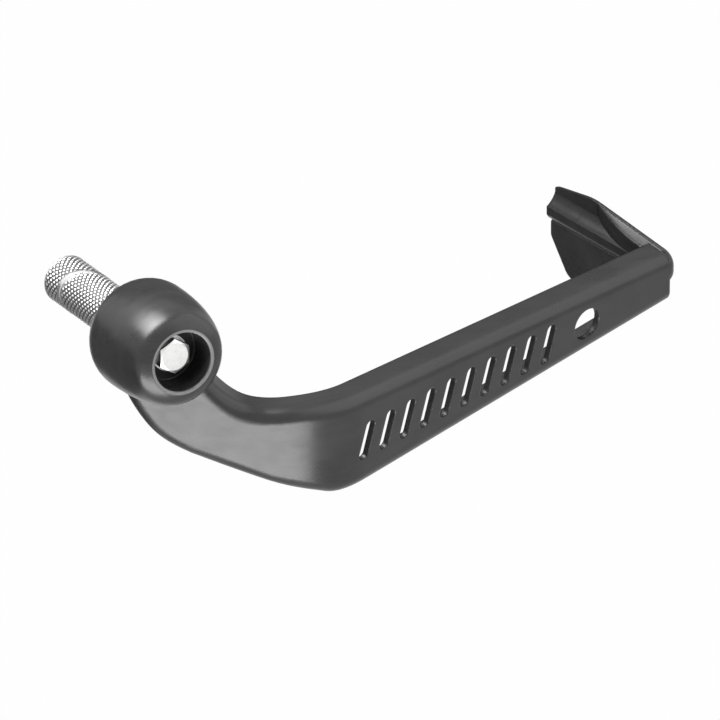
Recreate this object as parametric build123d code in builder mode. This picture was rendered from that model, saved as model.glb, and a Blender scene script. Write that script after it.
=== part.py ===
# Bar-end brake lever guard: one moulded guard held by a bolt, a washer and a two-piece expander.
# Frame: origin on the bar axis where the bar's end meets the bulb, +Y into the bar, +X forward, +Z up.
import os
from math import cos, radians, sin, tan

from build123d import *

os.makedirs("parts", exist_ok=True)

# Bar-end bulb
bulb_diameter = 37.2
bulb_length = 36.5
bulb_belly = 10.5
bulb_seat_taper = 6.2
bulb_nose_taper = 3.1
bulb_nose_length = 3.6
mouth_diameter = 19.6
mouth_depth = 11.1
mouth_land = 1.2
mouth_round = 0.5

# Bolt and washer
bolt_diameter = 6.0
bolt_head_width = 10.0
bolt_head_height = 4.0
bolt_head_chamfer = 0.5
bolt_setback = 2.0
bolt_point = 0.8
bolt_clearance = 0.3
thread_clearance = 0.05
washer_diameter = 12.0
washer_thickness = 1.6

# Expander in the bar
expander_diameter = 16.0
expander_length = 45.6
expander_split = 29.6
expander_split_angle = 31.0
expander_edge = 1.2

# Attitude and place of the blade, measured from the hub point on the bar axis
hub_reach = 17.6
hub_forward = 0.4
hub_height = 0.6
blade_sweep = 16.8
blade_rise = 9.7
blade_lean = 9.9
blade_offset = 36.3
blade_end = 193.0
bend_at = 38.1
bend_radius = 42.0
bend_lead = 18.0
arm_run = 40.7
arm_angle = 45.0
neck_run = 32.0
neck_angle = 52.0
seat_clearance = 1.5

# Channel section of arm and blade, open at the back
wall_depth = 9.5
face_round = 4.5
web = 2.2
flange = 2.4
hollow_start = 22.0
hollow_end = 186.0

# Edges of neck and arm in elevation, square to the arm: distance forward of the hub and height
neck_back = ((-12.0, -16.0), (-6.8, -30.8), (0.2, -40.0), (12.0, -46.8), (34.0, -56.4), (49.5, -62.8))
neck_top = (-6.0, -9.0)
arm_top = ((12.0, -13.0), (20.5, -23.0), (28.0, -28.2), (42.0, -29.2))
blade_start_low = -65.4
blade_start_high = -31.5
blade_end_low = -63.2
blade_end_high = -45.5

# Vents through the web
vent_count = 10
vent_height = 14.0
vent_width = 4.0
vent_lean = 18.0
vent_first = 57.0
vent_last = 138.0
port_diameter = 11.0
port_at = 155.5

# End paddle: outline seen along the blade, then its relief on the side of the lever
paddle_front = 196.6
paddle_depth = 6.6
paddle_round = 3.2
paddle_tip = 16.0
paddle_tip_top = -44.0
paddle_tip_low = -62.0
paddle_crest = -40.8
paddle_waist = -54.0
paddle_low = -75.0
paddle_low_outer = 20.0
paddle_low_inner = 8.0
paddle_corners = (1.0, 20.0, 5.5, 6.0, 6.0, 5.0, 3.0)
plate_depth = 4.6
bead_height = -50.0
groove_height = -56.0
groove_depth = 3.9
lip_depth = 2.8
lip_height = -46.2
channel_radius = 7.0
bead_radius = 5.0
channel_fade = 21.0

bar_axis = Axis((0, 0, 0), (0, 1, 0))
hub = Vector(hub_forward, -hub_reach, hub_height)


def turned(direction):
    """Turn a direction from the bar's frame into the blade's attitude."""
    rolled = Vector(direction).rotate(Axis.X, blade_lean)
    return rolled.rotate(Axis.Y, -blade_rise).rotate(Axis.Z, blade_sweep)


run = turned((1, 0, 0))
rise = turned((0, 0, 1))
plan = Plane(origin=hub, x_dir=run, z_dir=rise)
inward = plan.y_dir
outward = inward * -1

# Elevation of the arm: x along the arm, y up, looking square on to its outer face
along = run * cos(radians(arm_angle)) + outward * sin(radians(arm_angle))
elevation = Plane(origin=hub, x_dir=along, z_dir=along.cross(rise))
blade_start = bend_at + bend_lead

# Deeper than every outline, so that a cut or strip drawn in plan passes right through
plan_depth = -2 * paddle_low


def on_arm(distance, depth):
    """Point in plan at a distance back along the arm from its bend and a depth behind the outer face."""
    turn = radians(arm_angle)
    forward = bend_at - distance * cos(turn) + depth * sin(turn)
    return forward, -blade_offset + distance * sin(turn) + depth * cos(turn)


def strip(near, far, back, front):
    """Plan of a strip along arm and blade between two depths, from back on the neck to front on the blade."""
    half_turn = radians(arm_angle) / 2
    facet_depth = (back - arm_run) * tan(radians(neck_angle - arm_angle))
    with BuildSketch(plan) as outline:
        with BuildLine():
            FilletPolyline(
                on_arm(back, near + facet_depth),
                on_arm(arm_run, near),
                (bend_at + near * tan(half_turn), near - blade_offset),
                (front, near - blade_offset),
                (front, far - blade_offset),
                (bend_at + far * tan(half_turn), far - blade_offset),
                on_arm(back, far),
                radius=(0, 0, bend_radius - near, 0, 0, bend_radius - far, 0),
                close=True,
            )
        make_face()
    return outline.sketch


def across_blade(reach):
    """Plane square to the blade at a distance forward of the hub, x up and y outward."""
    return Plane(origin=plan.from_local_coords(Vector(reach, -blade_offset, 0)), x_dir=rise, z_dir=run)


def blade_edges(reach):
    """Lower and upper edge of the blade at a distance forward of the hub."""
    share = (reach - blade_start) / (blade_end - blade_start)
    low = blade_start_low + (blade_end_low - blade_start_low) * share
    high = blade_start_high + (blade_end_high - blade_start_high) * share
    return low, high


def seen_on_arm(reach, height):
    """Place in the arm's elevation of a point on the blade's outer face."""
    return reach * cos(radians(arm_angle)) + blade_offset * sin(radians(arm_angle)), height


def side_outline(inset):
    """Side outline of neck, arm and blade in the arm's elevation, its edges brought closer by an inset."""
    lower_start = seen_on_arm(blade_start, blade_start_low + inset)
    lower_end = seen_on_arm(blade_end, blade_end_low + inset)
    upper_start = seen_on_arm(blade_start, blade_start_high - inset)
    upper_end = seen_on_arm(blade_end, blade_end_high - inset)
    lower = [(forward, height + inset) for forward, height in neck_back]
    upper = [(forward, height - inset) for forward, height in arm_top]
    with BuildSketch(elevation) as outline:
        with BuildLine():
            lower_edge = Line(lower_start, lower_end)
            Line(lower_end, upper_end)
            upper_edge = Line(upper_end, upper_start)
            Spline(upper_start, *reversed(upper), tangents=(upper_edge % 1, (-1, 1)))
            Polyline(upper[0], neck_top, lower[0])
            Spline(*lower, lower_start, tangents=((0.1, -1), lower_edge % 0))
        make_face()
    return outline.sketch


# End paddle, made by itself so that its front edge is rounded before it joins the blade
with BuildPart() as paddle:
    front_plane = Plane(origin=plan.from_local_coords(Vector(paddle_front, 0, 0)), x_dir=inward, z_dir=run)
    with BuildSketch(front_plane):
        with BuildLine():
            FilletPolyline(
                (paddle_tip, paddle_tip_top),
                (0, paddle_crest),
                (-blade_offset, blade_end_high),
                (-blade_offset, paddle_waist),
                (-paddle_low_outer, paddle_low),
                (paddle_low_inner, paddle_low),
                (paddle_tip, paddle_tip_low),
                radius=paddle_corners,
                close=True,
            )
        make_face()
    extrude(amount=-paddle_depth)
    fillet(paddle.faces().sort_by(Axis(hub, run))[-1].edges(), paddle_round)

    # Relief on the lever's side, drawn on a plane across the paddle: x forward and y up
    side_plane = Plane(origin=hub, x_dir=run, z_dir=outward)
    rear = paddle_front - paddle_depth
    clear_rear = rear - wall_depth
    crest = (rear, bead_height)
    lip = (paddle_front - lip_depth, lip_height)
    groove = (paddle_front - groove_depth, groove_height)
    plate = paddle_front - plate_depth
    with BuildSketch(side_plane) as channel:
        with BuildLine():
            RadiusArc(crest, lip, -channel_radius)
            Polyline(lip, (lip[0], 0), (clear_rear, 0), (clear_rear, bead_height), crest)
        make_face()
    extrude(channel.sketch, amount=-2 * paddle_tip, mode=Mode.SUBTRACT)
    fade = outward * channel_fade - run * (lip[0] - rear)
    extrude(channel.sketch, amount=2 * fade.length, dir=fade.normalized(), mode=Mode.SUBTRACT)
    with BuildSketch(side_plane.offset(-2 * paddle_tip)):
        with BuildLine():
            RadiusArc(crest, groove, -bead_radius)
            Polyline(
                groove,
                (plate, groove_height + groove_depth - plate_depth),
                (plate, 2 * paddle_low),
                (clear_rear, 2 * paddle_low),
                (clear_rear, bead_height),
                crest,
            )
        make_face()
    extrude(amount=2 * paddle_tip + blade_offset - wall_depth, mode=Mode.SUBTRACT)

# Bar-end bulb: one turned section with the mouth for the bolt's head, its rounded rim and the bolt's hole
mouth_floor = mouth_depth - bulb_length
bolt_hole = bolt_diameter / 2 + bolt_clearance
with BuildPart() as bulb:
    with BuildSketch() as bulb_section:
        with BuildLine():
            seat = Line((bolt_hole, 0), (bulb_diameter / 2 - bulb_seat_taper, 0))
            belly = (bulb_diameter / 2, -bulb_belly)
            nose = (bulb_diameter / 2 - bulb_nose_taper, -bulb_length + bulb_nose_length)
            land = (mouth_diameter / 2 + mouth_land, -bulb_length)
            Spline(seat @ 1, belly, tangents=((1, -1), (0, -1)))
            flank = Spline(belly, nose, tangents=((0, -1), (-0.42, -1)))
            Spline(nose, land, tangents=(flank % 1, (-1, -0.35)))
            Polyline(
                land,
                (mouth_diameter / 2, -bulb_length),
                (mouth_diameter / 2, mouth_floor),
                (bolt_hole, mouth_floor),
                seat @ 0,
            )
        make_face()
        fillet(bulb_section.vertices().group_by(Axis.Y)[0].sort_by(Axis.X)[0], mouth_round)
    revolve(axis=bar_axis)

# Hollow behind the web and between the flanges, open at the back
with BuildPart() as hollow:
    extrude(strip(web, 2 * wall_depth, arm_run + neck_run, hollow_end), amount=-plan_depth)
    extrude(side_outline(flange), amount=blade_end, both=True, mode=Mode.INTERSECT)
    with BuildSketch(elevation):
        with Locations((hollow_start - plan_depth / 2, -plan_depth / 2)):
            Rectangle(plan_depth, 2 * plan_depth)
    extrude(amount=blade_end, both=True, mode=Mode.SUBTRACT)

with BuildPart() as guard:
    # Neck, arm and blade as one bent strip, cut to its side outline
    extrude(strip(0, wall_depth, arm_run + neck_run, blade_end), amount=-plan_depth)
    extrude(side_outline(0), amount=blade_end, both=True, mode=Mode.INTERSECT)

    # Rounded edges towards the outside
    outer_faces = guard.faces().filter_by(lambda face: face.normal_at().dot(outward) > 0.5)
    level_edges = outer_faces.edges().filter_by(lambda edge: abs((edge % 0.5).dot(rise)) < 0.9)
    fillet(level_edges.filter_by(lambda edge: plan.to_local_coords(edge @ 0.5).Z < arm_top[0][1]), face_round)

    # Room for the bar's end
    with BuildSketch(Plane(origin=(0, -seat_clearance, 0), z_dir=(0, 1, 0))):
        Rectangle(2 * bulb_diameter, 4 * bulb_diameter)
    extrude(amount=bulb_length, mode=Mode.SUBTRACT)
    add(hollow.part, mode=Mode.SUBTRACT)

    # Leaning vents and a round port through the web, along the middle of the blade
    blade_face = Plane(origin=across_blade(0).origin, x_dir=run, z_dir=outward)
    with BuildSketch(blade_face):
        for number in range(vent_count):
            reach = vent_first + (vent_last - vent_first) * number / (vent_count - 1)
            with Locations((reach, sum(blade_edges(reach)) / 2)):
                SlotOverall(vent_height, vent_width, rotation=90 - vent_lean)
        with Locations((port_at, sum(blade_edges(port_at)) / 2)):
            Circle(port_diameter / 2)
    extrude(amount=-wall_depth, mode=Mode.SUBTRACT)
    add(paddle.part)
    add(bulb.part)
guard.part.label = "guard"
export_step(guard.part, "parts/guard.step")

# Washer on the floor of the mouth
washer_face = mouth_floor - washer_thickness
with BuildPart() as bolt_washer:
    with BuildSketch(Plane(origin=(0, mouth_floor, 0), z_dir=(0, -1, 0))):
        Circle(washer_diameter / 2)
        Circle(bolt_hole, mode=Mode.SUBTRACT)
    extrude(amount=washer_thickness)
bolt_washer.part.label = "bolt_washer"
export_step(bolt_washer.part, "parts/bolt_washer.step")

# Bolt: hexagon head with turned corners, and a shank through guard and expander
bolt_end = expander_length - bolt_setback
with BuildPart() as clamp_bolt:
    with BuildSketch(Plane(origin=(0, washer_face, 0), z_dir=(0, -1, 0))):
        RegularPolygon(bolt_head_width / 2, 6, major_radius=False)
    extrude(amount=bolt_head_height)
    with BuildSketch():
        with BuildLine():
            head_face = washer_face - bolt_head_height
            Polyline(
                (0, washer_face),
                (bolt_head_width, washer_face),
                (bolt_head_width, washer_face - bolt_head_height / 2),
                (bolt_head_width / 2 - bolt_head_chamfer, head_face),
                (0, head_face),
                close=True,
            )
        make_face()
    revolve(axis=bar_axis, mode=Mode.INTERSECT)
    with BuildSketch(Plane(origin=(0, washer_face, 0), z_dir=(0, 1, 0))):
        Circle(bolt_diameter / 2)
    extrude(amount=bolt_end - washer_face)
    chamfer(clamp_bolt.edges().sort_by(Axis.Y)[-1], bolt_point)
clamp_bolt.part.label = "clamp_bolt"
export_step(clamp_bolt.part, "parts/clamp_bolt.step")

# Expander: a sleeve against the bulb and a wedge with the same slant, threaded for the bolt
slant = Plane(
    origin=(0, expander_split, 0),
    z_dir=(sin(radians(expander_split_angle)), cos(radians(expander_split_angle)), 0),
)
with BuildPart() as expander_sleeve:
    with BuildSketch(Plane(origin=(0, 0, 0), z_dir=(0, 1, 0))):
        Circle(expander_diameter / 2)
        Circle(bolt_hole, mode=Mode.SUBTRACT)
    extrude(amount=expander_length)
    split(bisect_by=slant, keep=Keep.BOTTOM)
expander_sleeve.part.label = "expander_sleeve"
export_step(expander_sleeve.part, "parts/expander_sleeve.step")

with BuildPart() as expander_wedge:
    with BuildSketch(Plane(origin=(0, 0, 0), z_dir=(0, 1, 0))):
        Circle(expander_diameter / 2)
        Circle(bolt_diameter / 2 + thread_clearance, mode=Mode.SUBTRACT)
    extrude(amount=expander_length)
    split(bisect_by=slant, keep=Keep.TOP)
    far_rims = expander_wedge.faces().sort_by(Axis.Y)[-1].edges().sort_by(SortBy.RADIUS)
    chamfer(far_rims[-1], expander_edge)
expander_wedge.part.label = "expander_wedge"
export_step(expander_wedge.part, "parts/expander_wedge.step")
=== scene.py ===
"""Looks of a bar-end brake lever guard: finishes, knurled expander, paddle's land and stage."""
import math
from typing import NamedTuple

import bpy
import numpy as np
from bpy.props import FloatProperty, FloatVectorProperty, IntProperty, PointerProperty
from bpy.types import Operator, Panel, PropertyGroup
from mathutils import Matrix, Vector


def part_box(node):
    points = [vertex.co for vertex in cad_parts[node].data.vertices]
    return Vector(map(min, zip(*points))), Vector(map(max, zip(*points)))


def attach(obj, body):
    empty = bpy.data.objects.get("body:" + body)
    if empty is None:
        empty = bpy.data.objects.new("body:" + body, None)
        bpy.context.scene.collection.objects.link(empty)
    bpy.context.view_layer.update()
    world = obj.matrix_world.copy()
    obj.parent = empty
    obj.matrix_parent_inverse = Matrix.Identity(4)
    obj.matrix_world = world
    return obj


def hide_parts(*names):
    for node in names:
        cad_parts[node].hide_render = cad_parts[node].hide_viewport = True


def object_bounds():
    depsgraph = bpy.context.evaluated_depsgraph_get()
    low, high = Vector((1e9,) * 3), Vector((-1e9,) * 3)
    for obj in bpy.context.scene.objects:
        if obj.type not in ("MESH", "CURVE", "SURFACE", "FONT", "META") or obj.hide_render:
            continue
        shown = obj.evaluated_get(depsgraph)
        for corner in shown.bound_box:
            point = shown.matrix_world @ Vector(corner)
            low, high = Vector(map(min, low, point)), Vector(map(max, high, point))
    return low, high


bl_info = {
    "name": "Brake Lever Guard",
    "version": (1, 0, 0),
    "blender": (4, 5, 0),
    "location": "View3D > Sidebar > Lever Guard",
    "description": "Finishes, knurled expander, paddle's land and stage of a bar-end brake lever guard",
    "category": "Object",
}

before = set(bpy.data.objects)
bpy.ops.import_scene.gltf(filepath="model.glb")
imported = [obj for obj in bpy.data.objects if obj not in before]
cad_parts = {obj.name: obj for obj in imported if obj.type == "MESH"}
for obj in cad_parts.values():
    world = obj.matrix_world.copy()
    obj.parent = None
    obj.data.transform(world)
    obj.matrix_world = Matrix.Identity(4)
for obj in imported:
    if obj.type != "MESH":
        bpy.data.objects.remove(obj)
CAD_LOW, CAD_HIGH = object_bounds()
SLEEVE_LOW, SLEEVE_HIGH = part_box("expander_sleeve")
WEDGE_LOW, WEDGE_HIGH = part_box("expander_wedge")
MM = 0.001
WHITE = (1.0, 1.0, 1.0)
SQUARE = ((-1, -1), (1, -1), (1, 1), (-1, 1))
SHARP_ANGLE = math.radians(50)

# Blade's frame, as in the CAD: forward along the blade, inward towards the lever and up, from the hub
HUB = (0.4 * MM, -17.6 * MM, 0.6 * MM)
BLADE_SWEEP = math.radians(16.8)
BLADE_RISE = math.radians(9.7)
BLADE_LEAN = math.radians(9.9)
BLADE_FRAME = (
    Matrix.Rotation(BLADE_SWEEP, 3, "Z")
    @ Matrix.Rotation(-BLADE_RISE, 3, "Y")
    @ Matrix.Rotation(BLADE_LEAN, 3, "X")
)
BLADE_FACE = 36.3 * MM
BLADE_ROUND = 4.5 * MM

# Paddle's land: sections along it, points round its corner, the corner's largest share of its width,
# how far it goes into the lip and lies below it, and how deep it reaches
LAND_SECTIONS = 65
LAND_CORNER_POINTS = 7
LAND_CORNER_SHARE = 0.45
LAND_OVERLAP = 0.1 * MM
LAND_SINK = 0.1 * MM
LAND_DEPTH = 9.6 * MM

# Knurl: steps of its mesh for each groove
KNURL_STEPS = 12

# Nylon: its index of refraction, the samples of its soft edges, how deep the painted rim highlight reaches
# behind the bulb's front, the depth over which it then fades, and how much of its pale colour it takes
NYLON_IOR = 1.42
EDGE_SAMPLES = 6
RIM_DEPTH = 0.6 * MM
RIM_FADE = 0.3 * MM
RIM_HIGHLIGHT_STRENGTH = 0.9

# Stage: half the floor's side, the share of it that is plain white to the camera, the roughness of floor
# and cards, the cards' colour, and how far the camera sees, in metres
FLOOR_HALF = 6.0
FLOOR_WHITE = 0.985
MATT = 0.9
FELT_COLOUR = (0.19, 0.19, 0.19)
CAMERA_REACH = 50.0


class Softbox(NamedTuple):
    """Rectangular lamp a distance along way from the setting named aim; metres, its spread in degrees."""

    name: str
    aim: str
    way: tuple
    distance: float
    width: float
    height: float
    radiance: float
    spread: float = 180.0


class Card(NamedTuple):
    """Dark card a distance along way from the stage's target; metres."""

    name: str
    way: tuple
    distance: float
    width: float
    height: float


SOFTBOXES = (
    Softbox("overhead_lamp", "bulb", (-0.42, 0.10, 0.90), 0.24, 0.22, 0.22, 2.9, 66.0),
    Softbox("low_left_lamp", "target", (-0.33, -0.57, -0.755), 0.6, 0.66, 0.28, 10.8),
    Softbox("land_lamp", "land", (0.14, 0.29, 0.95), 0.25, 0.10, 0.10, 0.34, 24.0),
    Softbox("front_right_lamp", "target", (0.66, -0.50, 0.56), 0.9, 1.2, 1.2, 1.3),
)
CARDS = (
    Card("left_card", (-0.66, 0.62, -0.42), 0.8, 1.20, 0.95),
    Card("back_card", (0.31, 0.90, 0.31), 0.8, 0.90, 0.72),
)


# Settings that a user would change

class MouldingSettings(PropertyGroup):
    """Finish of the moulded guard."""

    colour: FloatVectorProperty(
        name="Colour", description="Colour of the moulded nylon", subtype="COLOR",
        size=3, min=0, max=1, default=(0.014, 0.014, 0.0144),
    )
    pale_colour: FloatVectorProperty(
        name="Pale colour", description="Colour where the skin of the moulding is paler", subtype="COLOR",
        size=3, min=0, max=1, default=(0.020, 0.020, 0.0205),
    )
    # Painted highlight: a pale ring of this colour, radius and width on the mouth's rim stands in for the
    # lip's highlight.
    rim_highlight_colour: FloatVectorProperty(
        name="Rim colour", description="Colour of the rim of the bolt's mouth, rubbed pale by the socket",
        subtype="COLOR", size=3, min=0, max=1, default=(0.16, 0.16, 0.16),
    )
    rim_radius: FloatProperty(
        name="Rim radius", description="Radius of the rubbed rim at its middle",
        subtype="DISTANCE", unit="LENGTH", min=0, default=0.01035, precision=5,
    )
    rim_width: FloatProperty(
        name="Rim width", description="Width of the rubbed rim",
        subtype="DISTANCE", unit="LENGTH", min=0, default=0.0010, precision=5,
    )
    roughness: FloatProperty(
        name="Roughness", description="Roughness of the smooth skin",
        subtype="FACTOR", min=0, max=1, default=0.31,
    )
    grain: FloatProperty(
        name="Grain", description="Width of one grain of the mould's texture",
        subtype="DISTANCE", unit="LENGTH", min=0.00005, default=0.00038, precision=5,
    )
    edge: FloatProperty(
        name="Edge", description="Radius that softens the shading of moulded edges",
        subtype="DISTANCE", unit="LENGTH", min=0, default=0.0009, precision=5,
    )


class FixingSettings(PropertyGroup):
    """Finish of the bolt and its washer."""

    colour: FloatVectorProperty(
        name="Colour", description="Colour of the zinc plating", subtype="COLOR",
        size=3, min=0, max=1, default=(0.74, 0.74, 0.73),
    )
    roughness: FloatProperty(
        name="Roughness", description="Roughness of the plating",
        subtype="FACTOR", min=0, max=1, default=0.34,
    )
    turning: FloatProperty(
        name="Turning", description="Distance between the rings left by facing the head",
        subtype="DISTANCE", unit="LENGTH", min=0.00005, default=0.00035, precision=5,
    )


class ExpanderSettings(PropertyGroup):
    """Knurl and finish of the expander's sleeve and wedge."""

    starts: IntProperty(
        name="Starts", description="Grooves of each hand round the expander", min=8, default=23,
    )
    pitch: FloatProperty(
        name="Pitch", description="Distance along the axis between grooves of one hand",
        subtype="DISTANCE", unit="LENGTH", min=0.0005, default=0.00216, precision=5,
    )
    depth: FloatProperty(
        name="Depth", description="Depth of the grooves below the crests",
        subtype="DISTANCE", unit="LENGTH", min=0, default=0.00034, precision=5,
    )
    flank: FloatProperty(
        name="Flank", description="Width of a groove's flank as a share of the pitch", subtype="FACTOR",
        min=0.05, max=0.5, default=0.44,
    )
    land: FloatProperty(
        name="Land", description="Width of the plain band beside the slanted cut",
        subtype="DISTANCE", unit="LENGTH", min=0, default=0.0011, precision=5,
    )
    bevel: FloatProperty(
        name="Bevel", description="Bevel round the far end of the wedge",
        subtype="DISTANCE", unit="LENGTH", min=0, default=0.0012, precision=5,
    )
    sleeve_bore: FloatProperty(
        name="Sleeve bore", description="Diameter of the sleeve's hole",
        subtype="DISTANCE", unit="LENGTH", min=0.001, default=0.0066, precision=5,
    )
    wedge_bore: FloatProperty(
        name="Wedge bore", description="Diameter of the wedge's threaded hole",
        subtype="DISTANCE", unit="LENGTH", min=0.001, default=0.0061, precision=5,
    )
    colour: FloatVectorProperty(
        name="Crest colour", description="Colour of the bright crests", subtype="COLOR",
        size=3, min=0, max=1, default=(0.82, 0.82, 0.82),
    )
    # Painted shade: the grooves' dark colour stands in for the shade down in them.
    groove_shade_colour: FloatVectorProperty(
        name="Groove colour", description="Colour down in the grooves", subtype="COLOR",
        size=3, min=0, max=1, default=(0.075, 0.075, 0.077),
    )


class PaddleSettings(PropertyGroup):
    """Land that closes the paddle's channel towards the blade, in the blade's own frame."""

    front: FloatProperty(
        name="Front", description="Distance forward of the hub at which the land meets the paddle's lip",
        subtype="DISTANCE", unit="LENGTH", default=0.1938, precision=5,
    )
    rear: FloatProperty(
        name="Rear", description="Distance forward of the hub of the paddle's rear face",
        subtype="DISTANCE", unit="LENGTH", default=0.1900, precision=5,
    )
    start: FloatProperty(
        name="Start", description="Distance outward of the hub at which the land begins",
        subtype="DISTANCE", unit="LENGTH", default=0.0030, precision=5,
    )
    full: FloatProperty(
        name="Full width", description="Distance outward of the hub where the land reaches the rear face",
        subtype="DISTANCE", unit="LENGTH", default=0.0230, precision=5,
    )
    stop: FloatProperty(
        name="Stop", description="Distance outward of the hub at which the land ends in the blade",
        subtype="DISTANCE", unit="LENGTH", default=0.0352, precision=5,
    )
    crest: FloatProperty(
        name="Crest", description="Height of the paddle's crest below the hub",
        subtype="DISTANCE", unit="LENGTH", default=-0.0408, precision=5,
    )
    fall: FloatProperty(
        name="Fall", description="Fall of the paddle's top towards the blade", default=0.1295,
    )
    slope: FloatProperty(name="Slope", description="Fall of the land towards its rear edge", default=0.20)
    edge: FloatProperty(
        name="Edge", description="Radius of the land's rear edge",
        subtype="DISTANCE", unit="LENGTH", min=0, default=0.0006, precision=5,
    )


class StageSettings(PropertyGroup):
    """Camera, floor, room light and the points that the lamps aim at."""

    target: FloatVectorProperty(
        name="Target", description="Point at the middle of the picture", subtype="TRANSLATION",
        unit="LENGTH", size=3, default=(0.05595, -0.04876, -0.00495),
    )
    bulb: FloatVectorProperty(
        name="Bulb", description="Point of the bulb that the overhead lamp aims at", subtype="TRANSLATION",
        unit="LENGTH", size=3, default=(0.0, -0.030, 0.0),
    )
    land: FloatVectorProperty(
        name="Land", description="Point of the paddle that the land's lamp aims at", subtype="TRANSLATION",
        unit="LENGTH", size=3, default=(0.193, 0.016, -0.014),
    )
    azimuth: FloatProperty(
        name="Azimuth", description="Turn of the camera round the object", subtype="ANGLE",
        unit="ROTATION", default=math.radians(-27.3),
    )
    elevation: FloatProperty(
        name="Elevation", description="Height of the camera above the horizon", subtype="ANGLE",
        unit="ROTATION", default=math.radians(21.4),
    )
    field: FloatProperty(
        name="Field", description="Width of the picture at the target",
        subtype="DISTANCE", unit="LENGTH", min=0.01, default=0.22586, precision=5,
    )
    lens: FloatProperty(
        name="Lens", description="Focal length in millimetres", unit="CAMERA", min=10, default=1400,
    )
    floor_colour: FloatVectorProperty(
        name="Floor colour", description="Colour of the pale floor", subtype="COLOR",
        size=3, min=0, max=1, default=(0.86, 0.86, 0.86),
    )
    floor_drop: FloatProperty(
        name="Floor drop", description="Depth of the floor below the object",
        subtype="DISTANCE", unit="LENGTH", min=0, default=0.75,
    )
    room_light: FloatProperty(
        name="Room light", description="Even light from all round", min=0, default=0.45,
    )


# Shader maths

class Value:
    """An output socket whose arithmetic adds Math nodes to its material."""

    def __init__(self, finish, socket):
        self.finish, self.socket = finish, socket

    def _math(self, operation, first, second):
        return self.finish.node("ShaderNodeMath", {"operation": operation}, {0: first, 1: second})

    def __add__(self, other):
        return self._math("ADD", self, other)

    __radd__ = __add__

    def __sub__(self, other):
        return self._math("SUBTRACT", self, other)

    def __rsub__(self, other):
        return self._math("SUBTRACT", other, self)

    def __mul__(self, other):
        return self._math("MULTIPLY", self, other)

    __rmul__ = __mul__


class Finish:
    """A node tree, a material's or the world's, filled by plain calls."""

    def __init__(self, owner):
        owner.use_nodes = True
        self.tree = owner.node_tree

    def feed(self, socket, value):
        """Link a Value to a socket, or set the socket to a number, colour or vector."""
        if isinstance(value, Value):
            self.tree.links.new(value.socket, socket)
        elif socket.type == "RGBA":
            socket.default_value = (*value, 1.0)
        else:
            socket.default_value = value

    def node(self, kind, settings=None, sockets=None, output=0):
        """Add a node, set its settings first and then its sockets, and return one of its outputs."""
        made = self.tree.nodes.new(kind)
        for name, value in (settings or {}).items():
            setattr(made, name, value)
        for name, value in (sockets or {}).items():
            self.feed(made.inputs[name], value)
        return Value(self, made.outputs[output])

    def noise(self, place, size, detail):
        """Smooth noise whose features are about one size wide, from 0 to 1."""
        return self.node(
            "ShaderNodeTexNoise", None,
            {"Vector": place, "Scale": 1.0 / size, "Detail": detail, "Roughness": 0.55},
        )

    def step(self, value, low, high):
        """Smooth step from 0 at low to 1 at high."""
        return self.node(
            "ShaderNodeMapRange", {"interpolation_type": "SMOOTHSTEP"},
            {"Value": value, "From Min": low, "From Max": high},
        )

    def mix(self, share, first, second):
        """Colour between two colours."""
        return self.node("ShaderNodeMix", {"data_type": "RGBA"}, {0: share, 6: first, 7: second}, 2)

    def bump(self, height, strength, distance, normal=None):
        """Normal bent by a height."""
        sockets = {"Height": height, "Strength": strength, "Distance": distance}
        if normal is not None:
            sockets["Normal"] = normal
        return self.node("ShaderNodeBump", None, sockets)


def new_finish(name):
    """New material, the calls that fill its node tree, and its Principled shader."""
    material = bpy.data.materials.new(name)
    finish = Finish(material)
    return material, finish, finish.tree.nodes["Principled BSDF"]


def place_of(finish):
    """Object coordinates, in metres."""
    return finish.node("ShaderNodeTexCoord", None, None, "Object")


def axis_reach(finish, place):
    """Distance from the bolt's axis, which is the frame's Y axis."""
    across = finish.node("ShaderNodeVectorMath", {"operation": "MULTIPLY"}, {0: place, 1: (1.0, 0.0, 1.0)})
    return finish.node("ShaderNodeVectorMath", {"operation": "LENGTH"}, {0: across}, "Value")


def seen_share(finish):
    """1 for rays from the camera, off glossy surfaces or through clear ones, and 0 for the light itself."""
    camera = finish.node("ShaderNodeLightPath", None, None, "Is Camera Ray")
    paths = camera.socket.node.outputs
    total = camera + Value(finish, paths["Is Glossy Ray"]) + Value(finish, paths["Is Transmission Ray"])
    return finish.node("ShaderNodeMath", {"operation": "MINIMUM"}, {0: total, 1: 1.0})


def painted_rim_highlight(finish, place, settings):
    """Painted highlight's mask: 1 on a ring of the rim's radius and about its width at the bulb's front, 0
    elsewhere.
    """
    from_ring = axis_reach(finish, place) - settings.rim_radius
    from_ring = finish.node("ShaderNodeMath", {"operation": "ABSOLUTE"}, {0: from_ring})
    on_ring = 1 - finish.step(from_ring, low=0.4 * settings.rim_width, high=0.65 * settings.rim_width)
    along = finish.node("ShaderNodeSeparateXYZ", None, {0: place}, "Y")
    rim_back = CAD_LOW.y + RIM_DEPTH
    return on_ring * (1 - finish.step(along, low=rim_back, high=rim_back + RIM_FADE))


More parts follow.
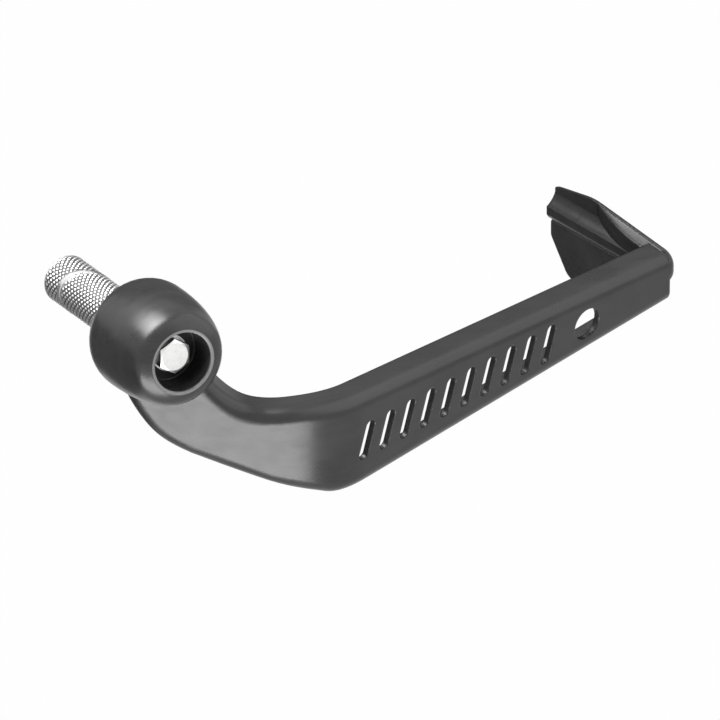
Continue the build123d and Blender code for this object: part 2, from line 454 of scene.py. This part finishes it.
def moulded_nylon(settings):
    """Satin black nylon: grain, clouds in the skin, faint flow along the arm and a painted highlight on the
    mouth's rim.
    """
    material, finish, shader = new_finish("moulded_nylon")
    place = place_of(finish)
    grain = finish.noise(place, size=settings.grain, detail=3.0)
    clouds = finish.noise(place, size=18 * MM, detail=3.0)
    stretched = finish.node("ShaderNodeMapping", None, {"Vector": place, "Scale": (0.12, 1.0, 1.0)})
    flow = finish.noise(stretched, size=3.2 * MM, detail=2.0)
    skin = finish.step(0.6 * clouds + 0.4 * flow, low=0.36, high=0.66)
    colour = finish.mix(skin, settings.colour, settings.pale_colour)
    # Painted highlight: the mouth's rim gets a pale base colour.
    painted_highlight = RIM_HIGHLIGHT_STRENGTH * painted_rim_highlight(finish, place, settings)
    finish.feed(shader.inputs["Base Color"], finish.mix(painted_highlight, colour, settings.rim_highlight_colour))
    rough = settings.roughness - 0.04 + 0.08 * skin + 0.06 * (grain - 0.5)
    finish.feed(shader.inputs["Roughness"], rough)
    soft_edge = finish.node("ShaderNodeBevel", {"samples": EDGE_SAMPLES}, {"Radius": settings.edge})
    bent = finish.bump(grain, strength=0.10, distance=0.05 * MM, normal=soft_edge)
    finish.feed(shader.inputs["Normal"], bent)
    finish.feed(shader.inputs["IOR"], NYLON_IOR)
    return material


def zinc_plate(settings):
    """Zinc-plated steel: faint rings of facing round the bolt's axis, and clouds in the plating."""
    material, finish, shader = new_finish("zinc_plate")
    place = place_of(finish)
    phase = axis_reach(finish, place) * (2 * math.pi / settings.turning)
    rings = finish.node("ShaderNodeMath", {"operation": "SINE"}, {0: phase})
    clouds = finish.noise(place, size=2.4 * MM, detail=3.0)
    specks = finish.noise(place, size=0.25 * MM, detail=2.0)
    dull = tuple(0.86 * channel for channel in settings.colour)
    colour = finish.mix(finish.step(clouds, low=0.35, high=0.7), settings.colour, dull)
    finish.feed(shader.inputs["Base Color"], colour)
    finish.feed(shader.inputs["Roughness"], settings.roughness - 0.05 + 0.14 * clouds + 0.02 * rings)
    height = 0.5 * rings + specks
    finish.feed(shader.inputs["Normal"], finish.bump(height, strength=0.10, distance=0.02 * MM))
    finish.feed(shader.inputs["Metallic"], 1.0)
    return material


def knurled_metal(settings):
    """Bright metal, with painted shade and more roughness in the grooves, which the mesh's attribute named
    knurl gives.
    """
    material, finish, shader = new_finish("knurled_metal")
    place = place_of(finish)
    crest = finish.node("ShaderNodeAttribute", {"attribute_name": "knurl"}, None, "Fac")
    clouds = finish.noise(place, size=1.6 * MM, detail=3.0)
    specks = finish.noise(place, size=0.18 * MM, detail=2.0)
    dull = tuple(0.9 * channel for channel in settings.colour)
    bright = finish.mix(finish.step(clouds, low=0.4, high=0.75), settings.colour, dull)
    # Painted shade: the base colour darkens towards the grooves.
    finish.feed(shader.inputs["Base Color"], finish.mix(crest, settings.groove_shade_colour, bright))
    finish.feed(shader.inputs["Roughness"], 0.50 - 0.26 * crest + 0.06 * clouds)
    finish.feed(shader.inputs["Normal"], finish.bump(specks, strength=0.08, distance=0.02 * MM))
    finish.feed(shader.inputs["Metallic"], 1.0)
    return material


# Surfaces

def knurl_height(angle, along, settings):
    """Height of a diamond knurl, 0 in the grooves and 1 on the crests.

    Two hands of helical grooves lie where starts * angle / (2 pi) plus or minus along / pitch is a whole
    number. The height is a smooth step of the distance to the nearest groove, one flank wide.
    """
    turns = settings.starts * angle / (2 * np.pi)
    phases = np.stack([turns + along / settings.pitch, turns - along / settings.pitch])
    distance = np.abs(phases - np.round(phases)).min(axis=0)
    share = np.clip(distance / settings.flank, 0, 1)
    return share * share * (3 - 2 * share)


def shade(mesh):
    """Shade a mesh smooth, apart from its sharp edges."""
    mesh.validate()
    mesh.shade_smooth()
    mesh.set_sharp_from_angle(angle=SHARP_ANGLE)


def ring_mesh(name, radius, along, knurl):
    """Closed ring of turned rows, with each point at (radius cos a, along, radius sin a).

    Rows run round the section and columns round the axis by the angle a. Both wrap, so no edge is open.
    """
    rows, columns = radius.shape
    angle = np.linspace(0, 2 * np.pi, columns, endpoint=False)[None, :]
    points = np.stack([radius * np.cos(angle), along, radius * np.sin(angle)], axis=-1).reshape(-1, 3)
    first = np.arange(rows * columns).reshape(rows, columns)
    beside = np.roll(first, -1, axis=1)
    below = np.roll(first, -1, axis=0)
    faces = np.stack([first, beside, np.roll(below, -1, axis=1), below], axis=-1).reshape(-1, 4)
    a, b, c = points[faces[:, 0]], points[faces[:, 1]], points[faces[:, 2]]
    if np.einsum("ij,ij->", a, np.cross(b, c)) < 0:
        faces = faces[:, ::-1]
    mesh = bpy.data.meshes.new(name)
    mesh.vertices.add(len(points))
    mesh.vertices.foreach_set("co", points.astype(np.float32).ravel())
    mesh.loops.add(faces.size)
    mesh.loops.foreach_set("vertex_index", faces.astype(np.int32).ravel())
    mesh.polygons.add(len(faces))
    mesh.polygons.foreach_set("loop_start", np.arange(0, faces.size, 4, dtype=np.int32))
    mesh.update(calc_edges=True)
    shade(mesh)
    crests = mesh.attributes.new("knurl", "FLOAT", "POINT")
    crests.data.foreach_set("value", knurl.astype(np.float32).ravel())
    return mesh


def expander_piece(name, settings, bore, far_end, end_drop):
    """Sleeve or wedge: a knurled wall between the slanted cut and a bevelled end, round a plain hole.

    The cut is the plane along = middle - slope * x. Each row of the wall is a share of the way from the cut
    to the bevel, and the wall's radius is the crest's radius less the knurl's depth in the grooves.
    """
    crest = SLEEVE_HIGH.x
    middle = (SLEEVE_HIGH.y + WEDGE_LOW.y) / 2
    slope = (SLEEVE_HIGH.y - WEDGE_LOW.y) / (2 * crest)
    columns = KNURL_STEPS * settings.starts
    angle = np.linspace(0, 2 * np.pi, columns, endpoint=False)[None, :]
    side = np.sign(far_end - middle)
    low = crest - settings.depth

    def cut(radius):
        return middle - slope * radius * np.cos(angle)

    start = cut(crest) + side * settings.land
    stop = far_end - side * end_drop
    rows = int(KNURL_STEPS * abs(far_end - middle) / settings.pitch)
    share = np.linspace(0, 1, rows)[:, None]
    wall_along = start + (stop - start) * share
    from_end = np.minimum(np.abs(wall_along - start), np.abs(stop - wall_along))
    fade = np.clip(from_end / settings.land, 0, 1)
    height = 1 - fade * (1 - knurl_height(angle, wall_along, settings))
    wall_radius = low + settings.depth * height
    flat = np.ones_like(angle)
    hole = bore / 2 * flat
    rim = low * flat
    end_rim = (crest - end_drop) * flat
    radius = np.concatenate([hole, rim, wall_radius, end_rim, hole])
    along = np.concatenate([cut(bore / 2), cut(low), wall_along, far_end * flat, far_end * flat])
    knurl = np.concatenate([flat, flat, height, flat, flat])
    return bpy.data.objects.new(name, ring_mesh(name, radius, along, knurl))


def paddle_land(name, settings):
    """Wedge of the land: a section with one rounded corner, carried outward along the paddle.

    At each distance out, the section runs from the lip inside the paddle's wall to a rear edge, which goes
    from the lip to the rear face along a quarter of a sine. Its top is the paddle's top less the slope
    times the distance behind the lip, lowered by the rounding of the blade's outer edge where it comes to
    that. A quarter of a circle joins the top to the rear face.
    """
    out = np.linspace(settings.start, settings.stop, LAND_SECTIONS)[:, None]
    share = np.clip((out - settings.start) / (settings.full - settings.start), 0, 1)
    rear = settings.front - (settings.front - settings.rear) * np.sin(0.5 * np.pi * share)
    lip = np.full_like(out, settings.front + LAND_OVERLAP)
    past_edge = np.clip(out - (BLADE_FACE - BLADE_ROUND), 0, BLADE_ROUND)
    rounding = BLADE_ROUND - np.sqrt(BLADE_ROUND ** 2 - past_edge ** 2)
    lip_top = settings.crest - settings.fall * out - rounding - LAND_SINK
    foot = np.full_like(out, settings.crest - LAND_DEPTH)
    turn = np.linspace(0, 0.5 * np.pi, LAND_CORNER_POINTS)[None, :]
    radius = np.minimum(settings.edge, LAND_CORNER_SHARE * (lip - rear))
    top_forward = np.concatenate([rear + radius * (1 - np.cos(turn)), lip], axis=1)
    drop = np.concatenate([radius * (1 - np.sin(turn)), np.zeros_like(out)], axis=1)
    top = lip_top - settings.slope * (settings.front - top_forward) - drop
    forward = np.concatenate([top_forward, lip, rear], axis=1)
    height = np.concatenate([top, foot, foot], axis=1)
    outward = np.broadcast_to(-out, forward.shape)
    local = np.stack([forward, outward, height], axis=-1).reshape(-1, 3)
    points = local @ np.array(BLADE_FRAME).T + np.array(HUB)
    first = np.arange(len(points)).reshape(forward.shape)
    beside = np.roll(first, -1, axis=1)
    sides = np.stack([first[:-1], first[1:], beside[1:], beside[:-1]], axis=-1).reshape(-1, 4)
    mesh = bpy.data.meshes.new(name)
    mesh.from_pydata(points.tolist(), [], [*sides.tolist(), first[0].tolist(), first[-1, ::-1].tolist()])
    shade(mesh)
    return bpy.data.objects.new(name, mesh)


def place_piece(piece, material, node=None):
    """Show a new piece that rides on the one body, in place of a CAD node where one is named."""
    bpy.context.scene.collection.objects.link(piece)
    piece.data.materials.append(material)
    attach(piece, "root")
    if node:
        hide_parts(node)


def clad(node, material):
    """Give a CAD node a finish."""
    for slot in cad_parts[node].material_slots:
        slot.material = material


def look_from(direction):
    """Turn whose -Z looks back along a direction, with +Y as near to up as it goes."""
    return (-Vector(direction)).to_track_quat("-Z", "Y").to_matrix().to_4x4()


def stand(way, distance, aim):
    """Place at a distance from a point in a direction, facing back to it."""
    way = Vector(way).normalized()
    return Matrix.Translation(aim + way * distance) @ look_from(way)


def hang_softbox(box, aim):
    """Soft lamp of one even radiance, hidden from the camera."""
    lamp = bpy.data.lights.new(box.name, "AREA")
    lamp.shape = "RECTANGLE"
    lamp.size, lamp.size_y = box.width, box.height
    lamp.energy = box.radiance * math.pi * box.width * box.height
    lamp.spread = math.radians(box.spread)
    holder = bpy.data.objects.new(box.name, lamp)
    holder.matrix_world = stand(box.way, box.distance, aim)
    holder.visible_camera = False
    bpy.context.scene.collection.objects.link(holder)


def stage_sheet(name, corners, finish_name, colour):
    """Flat matt sheet that belongs to the stage, with the calls that fill its node tree and its shader."""
    mesh = bpy.data.meshes.new(name)
    mesh.from_pydata(corners, [], [(0, 1, 2, 3)])
    material, finish, shader = new_finish(finish_name)
    finish.feed(shader.inputs["Base Color"], colour)
    finish.feed(shader.inputs["Roughness"], MATT)
    mesh.materials.append(material)
    sheet = bpy.data.objects.new(name, mesh)
    bpy.context.scene.collection.objects.link(sheet)
    return sheet, finish, shader


def stand_card(card, aim):
    """Dark card hidden from the camera, which only the sides of the object that face it reflect."""
    turn = stand(card.way, card.distance, aim)
    corners = [turn @ Vector((x * card.width / 2, y * card.height / 2, 0)) for x, y in SQUARE]
    sheet, _, _ = stage_sheet(card.name, corners, "dark_felt", FELT_COLOUR)
    sheet.visible_camera = False


# Operators

class LEVERGUARD_OT_moulding(Operator):
    """Finish the moulded guard and make the land of its paddle"""

    bl_idname = "leverguard.moulding"
    bl_label = "Moulded Guard"

    def execute(self, context):
        material = moulded_nylon(context.scene.leverguard_moulding)
        clad("guard", material)
        land = paddle_land("paddle_land", context.scene.leverguard_paddle)
        place_piece(land, material)
        return {"FINISHED"}


class LEVERGUARD_OT_fixings(Operator):
    """Finish the bolt and its washer"""

    bl_idname = "leverguard.fixings"
    bl_label = "Bolt and Washer"

    def execute(self, context):
        material = zinc_plate(context.scene.leverguard_fixings)
        for node in ("clamp_bolt", "bolt_washer"):
            clad(node, material)
        return {"FINISHED"}


class LEVERGUARD_OT_expander(Operator):
    """Make the knurled sleeve and wedge of the expander"""

    bl_idname = "leverguard.expander"
    bl_label = "Knurled Expander"

    def execute(self, context):
        settings = context.scene.leverguard_expander
        material = knurled_metal(settings)
        pieces = (
            ("knurled_sleeve", "expander_sleeve", settings.sleeve_bore, SLEEVE_LOW.y, settings.depth),
            ("knurled_wedge", "expander_wedge", settings.wedge_bore, WEDGE_HIGH.y, settings.bevel),
        )
        for name, node, bore, far_end, end_drop in pieces:
            piece = expander_piece(name, settings, bore, far_end, end_drop)
            place_piece(piece, material, node)
        return {"FINISHED"}


class LEVERGUARD_OT_stage(Operator):
    """Make the floor, room light, soft lamps, dark cards and camera"""

    bl_idname = "leverguard.stage"
    bl_label = "Stage"

    def execute(self, context):
        settings = context.scene.leverguard_stage
        self.floor(settings)
        self.room(context.scene, settings)
        target = Vector(settings.target)
        for box in SOFTBOXES:
            hang_softbox(box, Vector(getattr(settings, box.aim)))
        for card in CARDS:
            stand_card(card, target)
        self.camera(context.scene, settings, target)
        context.scene.view_settings.view_transform = "Standard"
        return {"FINISHED"}

    def floor(self, settings):
        """Wide square floor below the object, white to the camera apart from a share of its shadow."""
        level = CAD_LOW.z - settings.floor_drop
        corners = [(x * FLOOR_HALF, y * FLOOR_HALF, level) for x, y in SQUARE]
        _, finish, shader = stage_sheet("floor", corners, "pale_floor", settings.floor_colour)
        lit = Value(finish, shader.outputs[0])
        white = finish.node("ShaderNodeEmission", None, {"Color": WHITE, "Strength": 1.0})
        share = FLOOR_WHITE * seen_share(finish)
        mixed = finish.node("ShaderNodeMixShader", None, {0: share, 1: lit, 2: white})
        finish.feed(finish.tree.nodes["Material Output"].inputs["Surface"], mixed)

    def room(self, scene, settings):
        """Even room light, seen as plain white by the camera and in reflections."""
        scene.world = bpy.data.worlds.new("room")
        finish = Finish(scene.world)
        even = finish.tree.nodes["Background"]
        finish.feed(even.inputs["Color"], WHITE)
        strength = settings.room_light + (1.0 - settings.room_light) * seen_share(finish)
        finish.feed(even.inputs["Strength"], strength)

    def camera(self, scene, settings, target):
        """Long-lens camera at the picture's angle, so far off that its field has the picture's width."""
        lens = bpy.data.cameras.new("camera")
        lens.lens = settings.lens
        lens.clip_end = CAMERA_REACH
        around, above = settings.azimuth, settings.elevation
        flat = math.cos(above)
        back = Vector((math.sin(around) * flat, -math.cos(around) * flat, math.sin(above)))
        distance = settings.field * settings.lens / lens.sensor_width
        holder = bpy.data.objects.new("camera", lens)
        holder.matrix_world = stand(back, distance, target)
        scene.collection.objects.link(holder)
        scene.camera = holder


STEPS = (LEVERGUARD_OT_moulding, LEVERGUARD_OT_fixings, LEVERGUARD_OT_expander, LEVERGUARD_OT_stage)
SETTINGS = {
    "leverguard_moulding": MouldingSettings,
    "leverguard_paddle": PaddleSettings,
    "leverguard_fixings": FixingSettings,
    "leverguard_expander": ExpanderSettings,
    "leverguard_stage": StageSettings,
}


class LEVERGUARD_PT_sidebar(Panel):
    """Settings and steps of the lever guard"""

    bl_label = "Lever Guard"
    bl_idname = "LEVERGUARD_PT_sidebar"
    bl_space_type = "VIEW_3D"
    bl_region_type = "UI"
    bl_category = "Lever Guard"

    def draw(self, context):
        for group in SETTINGS:
            box = self.layout.box()
            settings = getattr(context.scene, group)
            for name in settings.__annotations__:
                box.prop(settings, name)
        for step in STEPS:
            self.layout.operator(step.bl_idname)


def register():
    for group in (*SETTINGS.values(), *STEPS, LEVERGUARD_PT_sidebar):
        bpy.utils.register_class(group)
    for name, group in SETTINGS.items():
        setattr(bpy.types.Scene, name, PointerProperty(type=group))


def unregister():
    for name in SETTINGS:
        delattr(bpy.types.Scene, name)
    for group in (LEVERGUARD_PT_sidebar, *reversed(STEPS), *reversed(SETTINGS.values())):
        bpy.utils.unregister_class(group)


def main():
    register()
    bpy.ops.leverguard.moulding()
    bpy.ops.leverguard.fixings()
    bpy.ops.leverguard.expander()
    bpy.ops.leverguard.stage()


if __name__ == "__main__":
    main()
